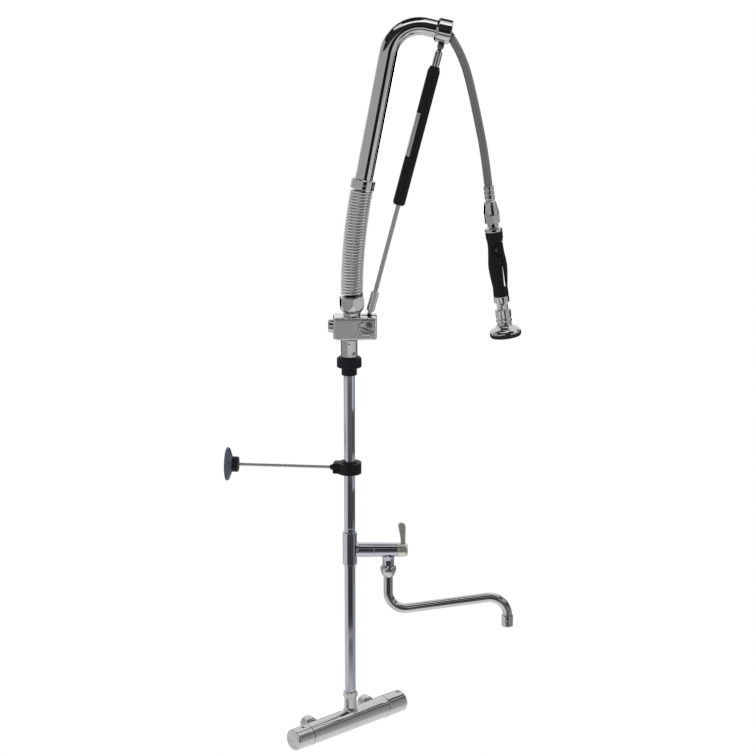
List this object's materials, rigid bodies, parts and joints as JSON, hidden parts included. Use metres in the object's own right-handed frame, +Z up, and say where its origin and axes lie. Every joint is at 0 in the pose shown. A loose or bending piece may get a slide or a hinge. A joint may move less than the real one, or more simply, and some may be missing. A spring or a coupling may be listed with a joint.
{
  "type": "pre rinse faucet",
  "caption": "Wall-mounted pre-rinse faucet: thermostatic mixer bar, riser with add-on tap and swivel spout, wall stay, spring arm with gas strut, hose and hand spray.",
  "frame": {"origin": "midway between the two supply union nuts, on the plane of their mating faces", "axes": "+Z up along the riser, +Y towards the wall, +X along the mixer bar towards the temperature knob"},
  "size_m": [0.4251, 0.4237, 1.3738],
  "materials": {
    "chrome": "polished chrome plate",
    "satin_chrome": "satin chrome plate",
    "steel": "ground stainless steel",
    "spring_steel": "bright drawn spring wire",
    "brass": "machined brass, unplated inside",
    "black_plastic": "black moulded polyamide",
    "black_grip": "black rubberised grip",
    "black_paint": "black powder coat",
    "rubber": "black rubber",
    "hose": "grey braided stainless steel over rubber",
    "inner_plastic": "white moulded acetal"
  },
  "bodies": {
    "mixer": {"mixer_body": "chrome", "union_nuts": "chrome", "inlet_filters": "rubber", "check_valves": "inner_plastic", "thermostat_cartridge": "brass", "flow_cartridge": "brass", "riser_nut": "chrome", "riser_pipe_lower": "chrome", "riser_pipe_upper": "chrome", "tap_tee": "chrome", "tap_body": "chrome", "tap_headpart": "brass", "spout_nut": "chrome", "swivel_collar": "black_plastic"},
    "temperature_knob": {"temperature_knob": "satin_chrome"},
    "temperature_button": {"temperature_button": "chrome"},
    "flow_knob": {"flow_knob": "satin_chrome"},
    "flow_button": {"flow_button": "chrome"},
    "bracket_bush": {"clamp_bush": "black_plastic"},
    "bracket": {"clamp_body": "black_plastic", "clamp_screw": "steel", "bracket_rod": "steel", "rod_lock_nut": "black_plastic", "wall_rosette": "black_plastic", "wall_plate": "steel"},
    "tap_handle": {"tap_lever": "satin_chrome", "lever_screw": "steel"},
    "spout": {"spout_tube": "chrome", "spout_seals": "rubber", "aerator_shell": "chrome", "aerator_insert": "inner_plastic"},
    "head": {"connector": "satin_chrome", "swivel_seals": "rubber", "set_screws": "steel", "pivot_block": "satin_chrome", "block_plug": "satin_chrome", "pivot_screw": "chrome", "coil_nut": "satin_chrome", "coil_spring": "spring_steel", "spring_hose": "rubber"},
    "arm": {"coil_ferrule": "chrome", "gooseneck": "chrome", "arm_hose": "hose", "arm_collar": "chrome", "strut_pin": "steel"},
    "strut_rod": {"strut_rod": "steel", "strut_lower_eye": "satin_chrome"},
    "strut_cylinder": {"strut_cylinder": "black_paint", "strut_upper_eye": "chrome"},
    "hose": {"spray_hose": "hose", "hose_ferrule": "chrome"},
    "spray": {"spray_nut": "chrome", "valve_body": "chrome", "spray_grip": "black_grip", "lever_pins": "steel", "spray_head": "chrome", "spray_bumper": "rubber", "nozzle_plate": "chrome"},
    "spray_lever": {"spray_lever": "black_grip"},
    "valve_plunger": {"valve_plunger": "steel"}
  },
  "joints": [
    {"name": "temperature_turn", "type": "hinge", "parent": "mixer", "child": "temperature_knob", "pos_m": [0.0865, -0.048, 0], "axis": [1, 0, 0], "range_deg": [-150, 60]},
    {"name": "temperature_stop", "type": "slide", "parent": "temperature_knob", "child": "temperature_button", "axis": [0, 0, -1], "range_m": [0, 0.0018], "stiffness_N_per_m": 900, "springref_m": -0.002},
    {"name": "flow_turn", "type": "hinge", "parent": "mixer", "child": "flow_knob", "pos_m": [-0.109, -0.048, 0], "axis": [-1, 0, 0], "range_deg": [0, 90]},
    {"name": "flow_stop", "type": "slide", "parent": "flow_knob", "child": "flow_button", "axis": [0, 0, -1], "range_m": [0, 0.0018], "stiffness_N_per_m": 900, "springref_m": -0.002},
    {"name": "bracket_slide", "type": "slide", "parent": "mixer", "child": "bracket_bush", "axis": [0, 0, 1], "range_m": [-0.1, 0.15]},
    {"name": "bracket_turn", "type": "hinge", "parent": "bracket_bush", "child": "bracket", "pos_m": [0, -0.048, 0.512], "axis": [0, 0, 1], "range_deg": [-131, 49]},
    {"name": "tap_turn", "type": "hinge", "parent": "mixer", "child": "tap_handle", "pos_m": [0, -0.048, 0.348], "axis": [0.7431, -0.6691, 0], "range_deg": [0, 90]},
    {"name": "spout_turn", "type": "hinge", "parent": "mixer", "child": "spout", "pos_m": [0.05462, -0.09718, 0.31], "axis": [0, 0, 1], "range_deg": [-135, 135]},
    {"name": "head_turn", "type": "hinge", "parent": "mixer", "child": "head", "pos_m": [0, -0.048, 0.7275], "axis": [0, 0, 1], "continuous": true},
    {"name": "arm_tilt", "type": "hinge", "parent": "head", "child": "arm", "pos_m": [0.00409, -0.05168, 0.9429], "axis": [0.6691, 0.7431, 0], "range_deg": [0, 30], "stiffness_Nm_per_rad": 13, "springref_deg": -39.53, "deforming": ["coil_spring", "spring_hose"]},
    {"name": "strut_rod_turn", "type": "hinge", "parent": "head", "child": "strut_rod", "pos_m": [0.02378, -0.06941, 0.786], "axis": [0.6691, 0.7431, 0], "range_deg": [0, 22.5]},
    {"name": "strut_cylinder_turn", "type": "hinge", "parent": "arm", "child": "strut_cylinder", "pos_m": [0.12329, -0.15901, 1.2985], "axis": [0.6691, 0.7431, 0], "range_deg": [-8, 0]},
    {"name": "hose_swing", "type": "hinge", "parent": "arm", "child": "hose", "pos_m": [0.14053, -0.17453, 1.30973], "axis": [0.6691, 0.7431, 0], "range_deg": [-40, 12], "stiffness_Nm_per_rad": 1.2},
    {"name": "spray_turn", "type": "hinge", "parent": "hose", "child": "spray", "pos_m": [0.19538, -0.22392, 0.99355], "axis": [0.0955, -0.0859, -0.9917], "continuous": true},
    {"name": "lever_squeeze", "type": "hinge", "parent": "spray", "child": "spray_lever", "pos_m": [0.20148, -0.22942, 0.93018], "axis": [0.6691, 0.7431, 0], "range_deg": [0, 2.5], "stiffness_Nm_per_rad": 3, "springref_deg": -2.86},
    {"name": "plunger_push", "type": "slide", "parent": "spray", "child": "valve_plunger", "axis": [-0.737, 0.6636, -0.1284], "range_m": [0, 0.0015]}
  ],
  "couplings": [
    {"joint": "strut_rod_turn", "follows": "arm_tilt", "ratio": 0.741},
    {"joint": "strut_cylinder_turn", "follows": "arm_tilt", "ratio": -0.259},
    {"joint": "plunger_push", "follows": "lever_squeeze", "m_per_rad": 0.0315}
  ]
}
